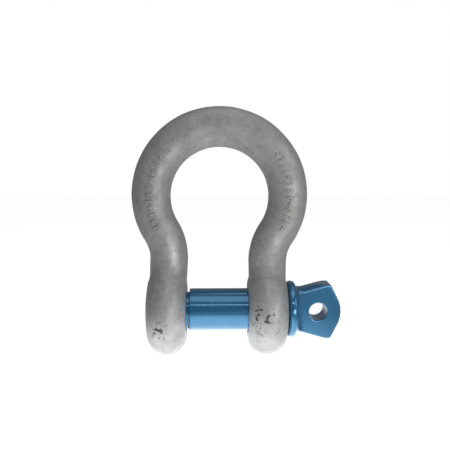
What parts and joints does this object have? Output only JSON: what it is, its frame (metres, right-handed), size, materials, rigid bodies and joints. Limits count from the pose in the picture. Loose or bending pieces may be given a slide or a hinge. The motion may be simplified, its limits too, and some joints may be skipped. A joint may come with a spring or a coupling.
{
  "type": "bow shackle",
  "caption": "Round-bar bow shackle: a bow with an eye on each leg, closed by a screw pin with a collar and a flat eye tab.",
  "frame": {"origin": "on the pin's axis, midway between the two eyes", "axes": "+X along the pin towards its head, +Z from the pin to the crown of the bow, +Y across the bow, away from the side seen in the reference view"},
  "size_m": [0.1243, 0.0542, 0.1481],
  "materials": {
    "galvanised_steel": "hot-dip galvanised, matte and mottled",
    "blue_paint": "glossy mid-blue paint on forged steel"
  },
  "bodies": {
    "shackle_bow": {"bow": "galvanised_steel"},
    "collar": {"pin_collar": "blue_paint"},
    "pin": {"screw_pin": "blue_paint"}
  },
  "joints": [
    {"name": "pin_travel", "type": "slide", "parent": "shackle_bow", "child": "collar", "axis": [1, 0, 0], "range_m": [0, 0.0889]},
    {"name": "pin_turn", "type": "hinge", "parent": "collar", "child": "pin", "pos_m": [0, 0, 0], "axis": [1, 0, 0], "range_deg": [0, 10081]}
  ],
  "couplings": [
    {"joint": "pin_turn", "follows": "pin_travel", "rad_per_m": 1979}
  ]
}
